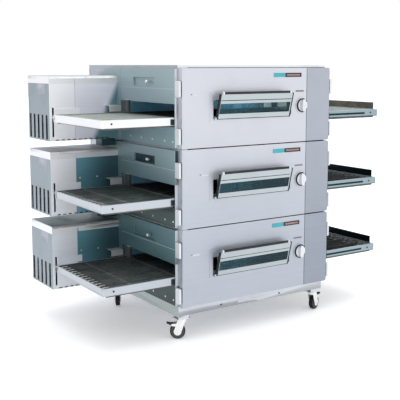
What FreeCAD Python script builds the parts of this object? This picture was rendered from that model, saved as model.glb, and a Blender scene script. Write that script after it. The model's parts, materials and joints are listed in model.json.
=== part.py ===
import FreeCAD, Part
import os
from math import cos, degrees, pi, radians, sin

os.makedirs("parts", exist_ok=True)
V = FreeCAD.Vector

# A triple-stack conveyor pizza oven in millimetres. +X runs along the conveyors to the right,
# +Y from the front doors to the back, +Z up. The origin is on the floor, under the middle.
# Functions take x from the body's left end, y from the front doors' face and z from the floor.

# Driving dimensions
deck_names = ("lower", "middle", "upper")
body_length = 1210.0
body_depth = 1291.0
handle_proud = 61.5
deck_pitch = 505.0
deck_bottom = 225.0
cap_height = 15.0
wall = 24.0
sheet = 3.0
front_plane = 50.0
panel_thickness = 22.0
panel_split_y = 760.0
panel_end_y = 1000.0
tunnel_low = 137.0
tunnel_high = 280.0
door_length = 1001.0
door_gap = 4.5
door_thickness = 48.0
door_low = 3.5
door_high = 501.5
pivot_inset = 6.0
pivot_radius = 4.0
window_low = 184.0
window_high = 302.0
window_left = 231.0
window_right = 866.0
hatch_left = 247.0
hatch_right = 845.0
hatch_tilt = radians(15)
hatch_axis_y = -8.5
hatch_height = 160.0
hatch_thickness = 12.0
latch_x = 962.0
latch_z = 249.0
overhang = 527.0
rail_front = 56.0
rail_rear = 741.0
rail_low = 149.0
rail_high = 197.0
belt_top = 194.0
belt_radius = 20.0
belt_thickness = 3.0
belt_front = 72.0
belt_rear = 725.0
shaft_inset = 501.5
shaft_radius = 6.0
sprocket_count = 5
tray_low = 140.3
tray_high = 148.5
box_front = 808.0
box_back = 1170.0
box_low = 15.0
box_high = 448.0
base_depth = 1040.0
leg_drop = 90.0
stem_inset = 50.0
caster_front_y = 88.0
caster_rear_y = 980.0
caster_trail = 28.0
wheel_radius = 50.0
wheel_width = 32.0
running = 0.05

front_y = handle_proud - (body_depth + handle_proud) / 2
belt_centre_z = belt_top - belt_radius
shaft_xs = (-shaft_inset, body_length + shaft_inset)
blower_x = body_length / 2
blower_z = 252.0
casters = {
    "front_left": (stem_inset, caster_front_y, 147.0),
    "front_right": (body_length - stem_inset, caster_front_y, 20.0),
    "rear_left": (stem_inset, caster_rear_y, 245.0),
    "rear_right": (body_length - stem_inset, caster_rear_y, 20.0),
}


def at(x, y, z):
    return V(x - body_length / 2, y + front_y, z)


def block(x0, x1, y0, y1, z0, z1):
    return Part.makeBox(x1 - x0, y1 - y0, z1 - z0, at(x0, y0, z0))


def rod(x, y, z, direction, radius, length):
    return Part.makeCylinder(radius, length, at(x, y, z), V(*direction))


def rounded_plate(x0, x1, y0, y1, z0, z1, radius, axis):
    """A plate with four round corners; axis is its thin direction, X or Y."""
    plate = block(x0, x1, y0, y1, z0, z1)
    edges = [e for e in plate.Edges if runs_along(e, axis)]
    return plate.makeFillet(radius, edges)


def runs_along(edge, axis):
    step = edge.Vertexes[-1].Point - edge.Vertexes[0].Point
    return abs(step.dot(V(*axis))) > step.Length * 0.999 and step.Length > 0


def mirror_x(shape):
    return shape.mirror(V(0, 0, 0), V(1, 0, 0))


def both_ends(solids):
    return solids + [mirror_x(s) for s in solids]


def extrude_xz(points, y0, y1):
    corners = [at(x, y0, z) for x, z in points]
    return Part.Face(Part.makePolygon(corners + corners[:1])).extrude(V(0, y1 - y0, 0))


def extrude_yz(points, x0, x1):
    corners = [at(x0, y, z) for y, z in points]
    return Part.Face(Part.makePolygon(corners + corners[:1])).extrude(V(x1 - x0, 0, 0))


def join(first, *others):
    return first.fuse(list(others)).removeSplitter()


def housing(z0, is_top):
    long, deep = body_length, body_depth
    low, high = z0 + wall, z0 + deck_pitch - wall
    solids = [
        block(0, long, front_plane, deep, z0, low),
        block(0, long, front_plane, deep, high, z0 + deck_pitch),
        vented_back(low, high),
        fixed_corner_panel(z0),
    ]
    side = [
        block(0, wall, front_plane, deep - wall, low, z0 + tunnel_low),
        block(0, wall, front_plane, deep - wall, z0 + tunnel_high, high),
        block(0, wall, panel_split_y, deep - wall, z0 + tunnel_low, z0 + tunnel_high),
        block(0, 40, front_plane, front_plane + 4, z0 + tunnel_low, z0 + tunnel_high),
    ]
    solids += both_ends(side)
    solids += [hinge_plate(z0 + 0.6), hinge_plate(z0 + deck_pitch - 2.8)]
    if is_top:
        top = z0 + deck_pitch
        solids.append(block(0, long, front_plane, deep, top, top + cap_height))
    return solids


def vented_back(low, high):
    """The back wall, with two banks of shallow air slots."""
    back = block(0, body_length, body_depth - wall, body_depth, low, high)
    for x in (130, 760):
        for i in range(8):
            z = low + 90 + i * 26
            back = back.cut(block(x, x + 320, body_depth - 8, body_depth + 1, z, z + 10))
    return back


def fixed_corner_panel(z0):
    left, right = door_length + door_gap, body_length
    panel = block(left, right, 0, front_plane, z0 + door_low, z0 + door_high)
    outer = [e for e in panel.Edges if runs_along(e, (0, 1, 0)) and e.CenterOfMass.x > right - 1 - body_length / 2]
    return panel.makeFillet(14, outer)


def hinge_plate(z):
    plate = block(0, 40, 1, front_plane, z, z + 2.2)
    bore = rod(pivot_inset, pivot_inset, z - 1, (0, 0, 1), pivot_radius + running, 5)
    return plate.cut(bore)


def front_door(z0):
    low, high = z0 + door_low, z0 + door_high
    door = block(0, door_length, 0, door_thickness, low, high)
    rim = rounded_plate(206, 885, -2, 1, z0 + 160, z0 + 352, 8, (0, 1, 0))
    plate = rod(latch_x, -3, z0 + latch_z, (0, 1, 0), 56, 4)
    plate = plate.common(block(900, door_length - 2, -4, 2, low, high))
    door = join(door, rim, plate)
    door = door.cut(block(window_left, window_right, -5, door_thickness + 1, z0 + window_low, z0 + window_high))
    door = door.cut(rod(latch_x, -5, z0 + latch_z, (0, 1, 0), 8 + running, 60))
    door = door.cut(rod(latch_x, 34, z0 + latch_z, (0, 1, 0), 38, 20))
    ears = [hatch_ear(z0, x) for x in (hatch_left - 10.5, hatch_right + 0.5)]
    pins = [
        rod(pivot_inset, pivot_inset, low - 2.7, (0, 0, 1), pivot_radius, 3),
        rod(pivot_inset, pivot_inset, high - 0.3, (0, 0, 1), pivot_radius, 3),
    ]
    return [join(door, *ears, *pins)]


def hatch_ear(z0, x):
    ear = block(x, x + 10, -16, 0, z0 + window_low - 9, z0 + window_low + 7)
    ear = ear.cut(block(x - 1, x + 11, -1.9, 1, z0 + window_low, z0 + window_low + 8))
    bore = rod(x - 1, hatch_axis_y, z0 + window_low, (1, 0, 0), 3 + running, 12)
    return ear.cut(bore)


def hatch_place(shape, z0):
    """Turns a piece drawn upright about the hatch axis to the tilt of the closed hatch."""
    shape.rotate(at(0, hatch_axis_y, z0 + window_low), V(1, 0, 0), degrees(hatch_tilt))
    return shape


def hatch_block(x0, x1, out, back, low, high, z0):
    """A block in the hatch's own directions: outwards and up its face from the hinge axis."""
    axis_z = z0 + window_low
    return block(x0, x1, hatch_axis_y - out, hatch_axis_y - back, axis_z + low, axis_z + high)


def window_frame(z0):
    half = hatch_thickness / 2
    axis_z = z0 + window_low
    frame = hatch_block(hatch_left, hatch_right, half, -half, 0, hatch_height, z0)
    frame = frame.cut(hatch_block(hatch_left + 15, hatch_right - 15, 20, -20, 31, 98, z0))
    frame = frame.cut(hatch_block(hatch_left + 11, hatch_right - 11, 2, -20, 27, 102, z0))
    frame = frame.cut(hatch_block(hatch_left + 15, hatch_right - 15, 20, half - 2.5, 117, 121, z0))
    barrel = rod(hatch_left, hatch_axis_y, axis_z, (1, 0, 0), half, hatch_right - hatch_left)
    pin = rod(hatch_left - 10, hatch_axis_y, axis_z, (1, 0, 0), 3, hatch_right - hatch_left + 20)
    frame = hatch_place(join(frame, barrel, pin), z0)
    solids = [frame]
    for x in (hatch_left + 15, hatch_right - 18):
        solids.append(behind_hatch(block(x, x + 3, -60, -3.5, axis_z + 12, axis_z + 141), z0))
    solids.append(behind_hatch(block(hatch_left + 18, hatch_right - 18, -60, -3.5, axis_z + 138, axis_z + 141), z0))
    return solids


def behind_hatch(shape, z0):
    """Keeps what lies behind the tilted frame."""
    half = hatch_thickness / 2
    front = hatch_block(0, body_length, 200, -half, -50, 300, z0)
    return shape.cut(hatch_place(front, z0))


def window_glass(z0):
    pane = hatch_block(hatch_left + 11.2, hatch_right - 11.2, 2, -2, 27.2, 101.8, z0)
    return [hatch_place(pane, z0)]


def window_handle(z0):
    bar = hatch_block(279, 811, 8, -6, hatch_height, hatch_height + 14, z0)
    long_edges = [e for e in bar.Edges if runs_along(e, (1, 0, 0))]
    bar = bar.makeFillet(4, long_edges)
    posts = [hatch_block(x, x + 9, 8, -6, hatch_height, hatch_height + 15, z0) for x in (270, 811)]
    return [hatch_place(s, z0) for s in [bar] + posts]


def latch_knob(z0):
    z = z0 + latch_z
    dish = rod(latch_x, -11, z, (0, 1, 0), 40, 7.7)
    grip = rounded_plate(latch_x - 15, latch_x + 15, -27, -11, z - 41, z + 41, 14, (0, 1, 0))
    shaft = rod(latch_x, -3.3, z, (0, 1, 0), 8, 43.3)
    cam = rounded_plate(latch_x - 10, latch_x + 34, 40, 45, z - 8, z + 8, 7, (0, 1, 0))
    return [join(dish, grip), shaft, cam]


def end_panels(z0):
    side = [
        block(-panel_thickness, 0, front_plane, panel_split_y, z0 + 8, z0 + tunnel_low),
        upper_end_panel(z0),
        block(-panel_thickness, 0, panel_split_y + 2, panel_end_y, z0 + 8, z0 + 497),
        block(-panel_thickness, 0, front_plane, front_plane + 4, z0 + tunnel_low, z0 + tunnel_high),
        block(-40, -panel_thickness, 616, 672, z0 + rail_high + 3, z0 + tunnel_high + 7),
    ]
    for low in (29, 323):
        side.append(rounded_plate(-panel_thickness, -7, 2, front_plane, z0 + low, z0 + low + 100, 9, (1, 0, 0)))
    return both_ends(side)


def upper_end_panel(z0):
    panel = block(-panel_thickness, 0, front_plane, panel_split_y, z0 + tunnel_high, z0 + 497)
    pocket = block(-panel_thickness - 1, -panel_thickness + 12, 299, 573, z0 + 385, z0 + 440)
    return panel.cut(pocket)


def conveyor_frame(z0):
    low, high = z0 + rail_low, z0 + rail_high
    tip, end = -overhang, body_length + overhang
    rails = []
    for y in (rail_front, rail_rear - 10):
        rail = block(tip, end, y, y + 10, low, high)
        for x in shaft_xs:
            rail = rail.cut(rod(x, y - 1, z0 + belt_centre_z, (0, 1, 0), shaft_radius + running, 12))
        rails.append(rail)
    mid_y = (rail_front + rail_rear) / 2
    side = [
        block(tip, -52, rail_front - 3, rail_front, low, high),
        block(-50, -24, rail_front - 7, rail_front, low + 3, high - 10),
        end_channel(z0),
        block(4, 34, rail_front, rail_front + 14, z0 + tunnel_low, low),
        block(4, 34, rail_rear - 14, rail_rear, z0 + tunnel_low, low),
    ]
    for y, lip_y in ((rail_front + 10, rail_front + 12), (rail_rear - 12, rail_rear - 26)):
        side.append(block(-500, -30, y, y + 2, z0 + 138, low + 12))
        side.append(block(-500, -30, lip_y, lip_y + 14, z0 + 138, z0 + 140))
    cross_bars = []
    bar_count = 10
    spacing = (body_length + 2 * 440) / (bar_count - 1)
    for i in range(bar_count):
        x = -440 + i * spacing
        cross_bars.append(block(x - 6, x + 6, rail_front + 10, rail_rear - 10, low + 14, low + 23))
    strips = []
    for i in range(4):
        y = mid_y + (i - 1.5) * 150
        strips.append(block(-470, body_length + 470, y - 4, y + 4, low + 23, z0 + belt_top - belt_thickness - 0.5))
    exit_x = body_length + overhang
    end_stop = block(exit_x - 4, exit_x - 1, rail_front + 35, rail_rear - 35, high, high + 49)
    return rails + both_ends(side) + cross_bars + strips + [end_stop]


def end_channel(z0):
    """The folded end of the conveyor, between the rails: a web with lips that face outwards."""
    low, high = z0 + rail_low, z0 + rail_high
    tip = -overhang
    front, rear = rail_front + 10, rail_rear - 10
    web = block(tip + 3, tip + 4.5, front, rear, low, high)
    top_lip = block(tip, tip + 5, front, rear, high - 3, high)
    bottom_lip = block(tip, tip + 12, front, rear, low, low + 3)
    return join(web, top_lip, bottom_lip)


def conveyor_belt(z0):
    """The band in four stretches: its two runs, and a half turn round each shaft."""
    x0, x1 = shaft_xs
    z = z0 + belt_centre_z
    inner = belt_radius - belt_thickness
    runs = [block(x0, x1, belt_front, belt_rear, z + low, z + low + belt_thickness) for low in (inner, -belt_radius)]
    return runs + both_ends([belt_turn(x0, z, inner)])


def belt_turn(x, z, inner):
    width = belt_rear - belt_front
    ring = rod(x, belt_front, z, (0, 1, 0), belt_radius, width)
    ring = ring.cut(rod(x, belt_front, z, (0, 1, 0), inner, width))
    return ring.cut(block(x, x + belt_radius + 1, belt_front, belt_rear, z - belt_radius - 1, z + belt_radius + 1))


def conveyor_shaft(z0, x, end_y):
    z = z0 + belt_centre_z
    shaft = rod(x, rail_front + 1, z, (0, 1, 0), shaft_radius, end_y - rail_front - 1)
    spacing = (belt_rear - belt_front - 60) / (sprocket_count - 1)
    sprockets = [sprocket(x, belt_front + 25 + i * spacing, z) for i in range(sprocket_count)]
    return join(shaft, *sprockets)


def sprocket(x, y, z):
    """An eight-tooth disc that carries the wire belt round the end of the frame."""
    outer, root, teeth = belt_radius - belt_thickness - 0.5, 13.5, 8
    points = []
    for i in range(teeth * 2):
        angle = pi * i / teeth
        radius = outer if i % 2 == 0 else root
        points.append((x + radius * cos(angle), z + radius * sin(angle)))
    return extrude_xz(points, y, y + 10)


def drive_shaft(z0):
    shaft = conveyor_shaft(z0, shaft_xs[0], 854)
    coupling = rod(shaft_xs[0], 826, z0 + belt_centre_z, (0, 1, 0), 16, 28)
    return [join(shaft, coupling)]


def idler_shaft(z0):
    return [conveyor_shaft(z0, shaft_xs[1], rail_rear - 1)]


def control_box(z0):
    left, right = -overhang, -panel_thickness
    low, high = z0 + box_low, z0 + box_high
    panel_high = high - 20
    seam = -341
    back = box_back - sheet
    front_left = block(left, seam - 1, box_front, box_front + sheet, low, panel_high)
    front_left = front_left.cut(block(-508, -495, box_front - 1, box_front + 4, z0 + 43, z0 + 239))
    front_right = block(seam + 1, right, box_front, box_front + sheet, low, panel_high)
    for i in range(10):
        slot = block(-484 + i * 41, -459 + i * 41, box_front - 1, box_front + 4, low + 3, low + 10)
        front_left = front_left.cut(slot)
        front_right = front_right.cut(slot)
    lid_front, lid_back = box_front - 2, box_back + 2
    return [
        front_left,
        front_right,
        block(left, right, lid_front, lid_back, high - 2, high),
        block(left, right, lid_front, box_front, panel_high, high - 2),
        block(left, right, box_back, lid_back, panel_high, high - 2),
        block(left, left + 2, box_front, box_back, panel_high, high - 2),
        block(right - 2, right, box_front, box_back, panel_high, high - 2),
        block(-494, -310, box_front - 5, box_front, z0 + 187, z0 + 233),
        block(-118, -26, 740, 743, z0 + 204, z0 + 246),
        block(-118, -26, 743, box_front, z0 + 243, z0 + 246),
        block(-136, -30, 830, 920, low - 52, low),
        block(left, right, back, box_back, low, panel_high),
        block(left, right, box_front + sheet, back, low, low + sheet),
        louvered_end(left, low + sheet, panel_high, z0),
        block(right - sheet, right, box_front + sheet, back, low + sheet, panel_high),
    ]


def louvered_end(x, low, high, z0):
    plate = block(x, x + sheet, box_front + sheet, box_back - sheet, low, high)
    pitch = 70
    for i in range(5):
        y = 842 + i * pitch
        plate = plate.cut(block(x - 1, x + sheet + 1, y, y + 32, z0 + 25, z0 + 188))
    return plate


def crumb_tray(z0, is_left):
    """A shallow folded tray: a floor and four rims that meet edge to edge."""
    x0, x1 = -498, -32
    y0, y1 = rail_front + 12.5, rail_rear - 12.5
    low, high = z0 + tray_low, z0 + tray_high
    gauge = 1.2
    solids = [
        block(x0, x1, y0, y1, low, low + gauge),
        block(x0, x1, y0, y0 + gauge, low + gauge, high),
        block(x0, x1, y1 - gauge, y1, low + gauge, high),
        block(x0, x0 + gauge, y0 + gauge, y1 - gauge, low + gauge, high),
        block(x1 - gauge, x1, y0 + gauge, y1 - gauge, low + gauge, high),
    ]
    return solids if is_left else [mirror_x(s) for s in solids]


def blower_wheel(z0):
    z = z0 + blower_z
    hub = rod(blower_x, 815, z, (0, 1, 0), 22, 75)
    disc = rod(blower_x, 884, z, (0, 1, 0), 130, 4)
    ring = rod(blower_x, 815, z, (0, 1, 0), 130, 4).cut(rod(blower_x, 814, z, (0, 1, 0), 100, 6))
    blades = []
    for i in range(12):
        blade = block(blower_x + 98, blower_x + 127, 818, 885, z - 1.5, z + 1.5)
        blade.rotate(at(blower_x, 0, z), V(0, 1, 0), i * 30)
        blades.append(blade)
    wheel = join(hub, disc, ring, *blades)
    return [wheel.cut(rod(blower_x, 800, z, (0, 1, 0), 8 + running, 100))]


def baking_chambers():
    solids = []
    for z0 in deck_levels():
        z = z0 + blower_z
        back = block(30, body_length - 30, 756, 759, z0 + 34, z0 + 440)
        solids += [
            block(30, body_length - 30, front_plane + 6, 756, z0 + 30, z0 + 34),
            block(30, body_length - 30, front_plane + 6, 756, z0 + 440, z0 + 444),
            back.cut(rod(blower_x, 750, z, (0, 1, 0), 95, 20)),
        ]
    return solids


def air_fingers():
    """Tapered ducts, tall at the blower side, that blow down on and up through the belt."""
    solids = []
    count = 4
    pitch = (body_length - 80) / count
    for z0 in deck_levels():
        for i in range(count):
            x = 40 + i * pitch
            upper = [(75, 288), (750, 288), (750, 400), (75, 330)]
            lower = [(75, 128), (750, 128), (750, 46), (75, 96)]
            for outline in (upper, lower):
                points = [(y, z + z0) for y, z in outline]
                solids.append(extrude_yz(points, x + 18, x + pitch - 18))
    return solids


def drive_motors():
    solids = []
    for z0 in deck_levels():
        z = z0 + belt_centre_z
        x = shaft_xs[0]
        gearbox = block(x - 18, x + 72, 868, 960, z0 + 130, z0 + 218)
        stub = rod(x, 856, z, (0, 1, 0), 10, 13)
        body = rod(x + 32, 959, z, (0, 1, 0), 30, 140)
        solids.append(join(gearbox, stub, body))
        z = z0 + blower_z
        body = rod(blower_x, 1000, z, (0, 1, 0), 72, 180)
        shaft = rod(blower_x, 812, z, (0, 1, 0), 8, 189)
        solids.append(join(body, shaft))
        solids.append(block(blower_x - 130, blower_x + 130, 1180, body_depth - wall, z0 + 150, z0 + 170))
    return solids


def panel_fasteners():
    solids = []
    for z0 in deck_levels():
        side = [thumb_knob(z0)]
        for y in (71, 171, 324, 469, 618):
            side.append(rod(-panel_thickness - 3, y, z0 + 45, (1, 0, 0), 6, 3))
        side.append(rod(-overhang + 69, rail_front - 6, z0 + 174, (0, 1, 0), 6, 3))
        solids += both_ends(side)
        for x in (-315, -186):
            solids.append(rod(x, box_front - 2, z0 + 262, (0, 1, 0), 6, 2))
        for x in (-470, -260):
            solids.append(rod(x, box_front - 4, z0 + box_high - 10, (0, 1, 0), 5, 2))
    for x in (330, 822):
        solids.append(rod(x, front_plane - 3, deck_bottom - 40, (0, 1, 0), 6, 3))
    return solids


def thumb_knob(z0):
    """A round-edged knob on a short stem, standing on the floor of the pocket."""
    face = -panel_thickness + 12
    radius = 12
    stem = rod(face - 16, 380, z0 + 413, (1, 0, 0), 4, 16)
    head = rod(face - 30, 380, z0 + 413, (1, 0, 0), radius, 18)
    rims = [e for e in head.Edges if abs(e.Length - 2 * pi * radius) < 0.1]
    return join(head.makeFillet(6, rims), stem)


def base_frame():
    top = deck_bottom
    foot = top - leg_drop
    skirt = top - 64
    solids = [
        block(0, body_length, front_plane, front_plane + 4, skirt, top),
        block(0, body_length, base_depth - 4, base_depth, skirt, top),
        block(4, body_length - 4, 480, 540, top - 40, top),
    ]
    side = [block(0, 4, front_plane + 4, base_depth - 4, skirt - 6, top)]
    for y, lip in ((front_plane, front_plane + 4), (base_depth - 75, base_depth - 4)):
        stem_y = caster_front_y if y == front_plane else caster_rear_y
        plate = block(4, 92, stem_y - 34, stem_y + 44, foot, foot + 4)
        plate = plate.cut(rod(stem_inset, stem_y, foot - 1, (0, 0, 1), 6 + running, 6))
        side.append(plate)
        web_y = front_plane if y == front_plane else base_depth - 4
        outline = [(0, foot), (74, foot), (78, foot + 12), (92, skirt), (0, skirt)]
        side.append(extrude_xz(outline, web_y, web_y + 4))
        side.append(block(4, 92, stem_y - 34, stem_y - 30, foot + 4, top))
    return solids + both_ends(side)


def caster_point(name, along, across, z):
    """A point in a caster's own directions: along its trail and across it."""
    x, y, heading = casters[name]
    a = radians(heading)
    return at(x + along * cos(a) - across * sin(a), y + along * sin(a) + across * cos(a), z)


def caster_across(name):
    a = radians(casters[name][2])
    return V(-sin(a), cos(a), 0)


def caster_rod(name, along, across, z, radius, length):
    return Part.makeCylinder(radius, length, caster_point(name, along, across, z), caster_across(name))


def pedal_pivot(across):
    return (62, across, 95)


def caster_plate(name, outline, across, thickness):
    corners = [caster_point(name, along, across, z) for along, z in outline]
    face = Part.Face(Part.makePolygon(corners + corners[:1]))
    return face.extrude(caster_across(name) * thickness)


def caster_fork(name, has_brake):
    x, y, heading = casters[name]
    foot = deck_bottom - leg_drop
    crown = rod(x, y, foot - 19, (0, 0, 1), 30, 16)
    stem = rod(x, y, foot - 4, (0, 0, 1), 6, 14)
    neck = rod(x, y, foot - 4, (0, 0, 1), 12, 3.6)
    pieces = [stem, neck]
    side = wheel_width / 2 + 4
    lobe = 25
    outline = [(-24, foot - 10), (28, foot - 10), (caster_trail + lobe, wheel_radius), (caster_trail - lobe, wheel_radius)]
    for across in (side, -side - 3):
        pieces.append(caster_plate(name, outline, across, 3))
        pieces.append(caster_rod(name, caster_trail, across, wheel_radius, lobe, 3))
        if has_brake:
            arm = [(20, 104), (64, 102), (70, 95), (64, 87), (30, 84)]
            pieces.append(caster_plate(name, arm, across, 3))
    pieces.append(caster_rod(name, caster_trail, -side - 6, wheel_radius, 5, 2 * side + 12))
    if has_brake:
        pieces.append(caster_rod(name, *pedal_pivot(-side - 1), 3, 2 * side + 2))
    return [join(crown, *pieces)]


def caster_wheel(name):
    half = wheel_width / 2
    tyre = caster_rod(name, caster_trail, -half, wheel_radius, wheel_radius, wheel_width)
    rim = [e for e in tyre.Edges if abs(e.Length - 2 * pi * wheel_radius) < 0.1]
    tyre = tyre.makeFillet(6, rim)
    for across in (half - 4, -half):
        ring = caster_rod(name, caster_trail, across, wheel_radius, 34, 4)
        tyre = tyre.cut(ring.cut(caster_rod(name, caster_trail, across, wheel_radius, 14, 4)))
    bore = caster_rod(name, caster_trail, -half - 1, wheel_radius, 5 + running, wheel_width + 2)
    return [tyre.cut(bore)]


def brake_pedal(name):
    lever = [(56, 101), (64, 102.5), (94, 106), (97, 110), (100, 109), (98, 102), (70, 90), (62, 90)]
    half = 15
    pedal = caster_plate(name, lever, -half, 2 * half)
    lug = caster_rod(name, *pedal_pivot(-half), 6, 2 * half)
    pedal = join(pedal, lug)
    bore = caster_rod(name, *pedal_pivot(-half - 1), 3 + running, 2 * half + 2)
    tyre_room = caster_rod(name, caster_trail, -half - 1, wheel_radius, wheel_radius + 1.5, 2 * half + 2)
    return [pedal.cut(bore).cut(tyre_room)]


def deck_levels():
    return [deck_bottom + i * deck_pitch for i in range(len(deck_names))]


def save(name, solids):
    shape = solids[0] if len(solids) == 1 else Part.makeCompound(solids)
    shape.exportStep("parts/" + name + ".step")
    volume = sum(s.Volume for s in solids)
    valid = all(s.isValid() for s in solids)
    print(name, len(shape.Solids), round(volume / 1000), "cm3", "ok" if valid else "INVALID")


def build():
    for i, name in enumerate(deck_names):
        z0 = deck_levels()[i]
        save(name + "_housing", housing(z0, i == len(deck_names) - 1))
        save(name + "_front_door", front_door(z0))
        save(name + "_end_panels", end_panels(z0))
        save(name + "_window_frame", window_frame(z0))
        save(name + "_window_glass", window_glass(z0))
        save(name + "_window_handle", window_handle(z0))
        save(name + "_latch_knob", latch_knob(z0))
        save(name + "_conveyor_frame", conveyor_frame(z0))
        save(name + "_conveyor_belt", conveyor_belt(z0))
        save(name + "_drive_shaft", drive_shaft(z0))
        save(name + "_idler_shaft", idler_shaft(z0))
        save(name + "_control_box", control_box(z0))
        save(name + "_crumb_tray_left", crumb_tray(z0, True))
        save(name + "_crumb_tray_right", crumb_tray(z0, False))
        save(name + "_blower_wheel", blower_wheel(z0))
    save("baking_chambers", baking_chambers())
    save("air_fingers", air_fingers())
    save("drive_motors", drive_motors())
    save("panel_fasteners", panel_fasteners())
    save("base_frame", base_frame())
    for name in casters:
        has_brake = name.startswith("front")
        save("caster_fork_" + name, caster_fork(name, has_brake))
        save("caster_wheel_" + name, caster_wheel(name))
        if has_brake:
            save("brake_pedal_" + name, brake_pedal(name))


build()
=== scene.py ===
import json
from math import cos, pi, radians, sin

import bpy
from mathutils import Matrix, Vector


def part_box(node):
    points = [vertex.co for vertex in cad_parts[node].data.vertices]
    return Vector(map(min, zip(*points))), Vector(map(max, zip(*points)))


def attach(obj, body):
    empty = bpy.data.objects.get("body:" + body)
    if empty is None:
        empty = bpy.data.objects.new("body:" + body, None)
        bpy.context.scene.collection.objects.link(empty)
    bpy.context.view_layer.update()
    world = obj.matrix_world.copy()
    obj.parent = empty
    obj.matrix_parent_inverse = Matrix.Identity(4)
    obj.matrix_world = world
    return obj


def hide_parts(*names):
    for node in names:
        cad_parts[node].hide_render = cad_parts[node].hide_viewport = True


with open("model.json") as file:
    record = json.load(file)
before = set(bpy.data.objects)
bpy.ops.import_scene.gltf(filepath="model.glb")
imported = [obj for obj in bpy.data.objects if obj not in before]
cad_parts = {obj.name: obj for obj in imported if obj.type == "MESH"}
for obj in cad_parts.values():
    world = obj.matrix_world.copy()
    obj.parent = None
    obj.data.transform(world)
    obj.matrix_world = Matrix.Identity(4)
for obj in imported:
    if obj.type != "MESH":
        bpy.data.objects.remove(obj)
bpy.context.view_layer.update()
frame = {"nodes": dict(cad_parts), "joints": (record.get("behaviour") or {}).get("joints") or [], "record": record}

# The looks of a triple-stack conveyor pizza oven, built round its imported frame, in metres.
# spot() takes millimetres from the body's left end, the doors' face and the deck's floor.

mm = 0.001
decks = ("lower", "middle", "upper")
corners = ("front_left", "front_right", "rear_left", "rear_right")
deck_corner = {deck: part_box(deck + "_housing")[0] for deck in decks}
body_length = (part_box("upper_housing")[1].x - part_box("upper_housing")[0].x) / mm
node_body = {n: body for body, nodes in frame["record"]["behaviour"]["bodies"].items() for n in nodes}
joint_place = {joint["name"]: Vector(joint["pos_m"]) for joint in frame["joints"] if "pos_m" in joint}
joint_axis = {joint["name"]: Vector(joint["axis"]) for joint in frame["joints"]}


def spot(deck, x, y, z):
    return deck_corner[deck] + Vector((x, y, z)) * mm


# Editing helpers

def take(piece):
    bpy.ops.object.select_all(action="DESELECT")
    piece.select_set(True)
    bpy.context.view_layer.objects.active = piece
    return piece


def settle(name):
    """Names the new primitive and moves its place into its mesh."""
    piece = take(bpy.context.object)
    bpy.ops.object.transform_apply(location=True, rotation=True, scale=True)
    piece.name = name
    return piece


def add_block(name, low, high):
    bpy.ops.object.select_all(action="DESELECT")
    bpy.ops.mesh.primitive_cube_add(size=1, location=(low + high) / 2, scale=high - low)
    return settle(name)


def open_faces(piece, wanted):
    """Opens a piece for editing with only the wanted faces selected."""
    take(piece)
    bpy.ops.object.mode_set(mode="EDIT")
    bpy.ops.mesh.select_mode(type="FACE")
    bpy.ops.mesh.select_all(action="DESELECT")
    bpy.ops.object.mode_set(mode="OBJECT")
    for face in piece.data.polygons:
        face.select = wanted(face.center, face.normal)
    bpy.ops.object.mode_set(mode="EDIT")


def close_edit():
    bpy.ops.object.mode_set(mode="OBJECT")


def inset_and_push(piece, wanted, inset, push):
    """Insets the wanted faces and moves the inner faces along their normals."""
    open_faces(piece, wanted)
    bpy.ops.mesh.inset(thickness=inset, depth=0)
    bpy.ops.mesh.extrude_region_shrink_fatten(TRANSFORM_OT_shrink_fatten={"value": push})
    close_edit()


def round_edges(piece, width, segments=2):
    take(piece)
    bevel = piece.modifiers.new("rounded edges", "BEVEL")
    bevel.width = width
    bevel.segments = segments
    bevel.limit_method = "ANGLE"
    bevel.angle_limit = radians(32)
    bpy.ops.object.modifier_apply(modifier=bevel.name)
    bpy.ops.object.shade_smooth_by_angle(angle=radians(34))


def reach_of(piece):
    """The lowest and highest corners of a piece's mesh."""
    places = [vertex.co for vertex in piece.data.vertices]
    return [[pick(place[i] for place in places) for i in range(3)] for pick in (min, max)]


def keep_inside(piece, low, high):
    """Moves back any point that rounding has pushed past the given corners."""
    for vertex in piece.data.vertices:
        vertex.co = [min(max(vertex.co[i], low[i]), high[i]) for i in range(3)]


def even_shading(piece):
    """Keeps the flat faces flat: their rounded edges no longer tilt the light across them."""
    take(piece)
    weighted = piece.modifiers.new("even shading", "WEIGHTED_NORMAL")
    weighted.keep_sharp = True
    bpy.ops.object.modifier_apply(modifier=weighted.name)


def join_pieces(name, pieces):
    take(pieces[0])
    for piece in pieces[1:]:
        piece.select_set(True)
    bpy.ops.object.join()
    pieces[0].name = name
    return pieces[0]


def dress(piece, material, *others):
    """Gives a piece its material, and each other one on the faces that its own test picks."""
    piece.data.materials.clear()
    piece.data.materials.append(material)
    for face in piece.data.polygons:
        face.material_index = 0
    for i, (other, is_other) in enumerate(others):
        piece.data.materials.append(other)
        for face in piece.data.polygons:
            if is_other(face.center, face.normal):
                face.material_index = i + 1


def place_piece(piece, body):
    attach(piece, body)
    return piece


def finish_copy(piece, node):
    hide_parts(node)
    return place_piece(piece, node_body[node])


def copy_node(node, name):
    """A copy of a CAD node's mesh, with its loose triangles merged into whole faces."""
    take(frame["nodes"][node])
    bpy.ops.object.duplicate()
    piece = bpy.context.object
    for key in list(piece.keys()):
        del piece[key]
    piece.parent = None
    piece.name = name
    bpy.ops.object.mode_set(mode="EDIT")
    bpy.ops.mesh.select_all(action="SELECT")
    bpy.ops.mesh.remove_doubles(threshold=0.00001)
    bpy.ops.mesh.dissolve_limited(angle_limit=radians(0.5))
    close_edit()
    return piece


def split_faces(piece, place, across):
    """Cuts the faces along a plane, so that each side can have its own material."""
    open_faces(piece, lambda centre, normal: True)
    bpy.ops.mesh.bisect(plane_co=place, plane_no=across)
    close_edit()


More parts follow.
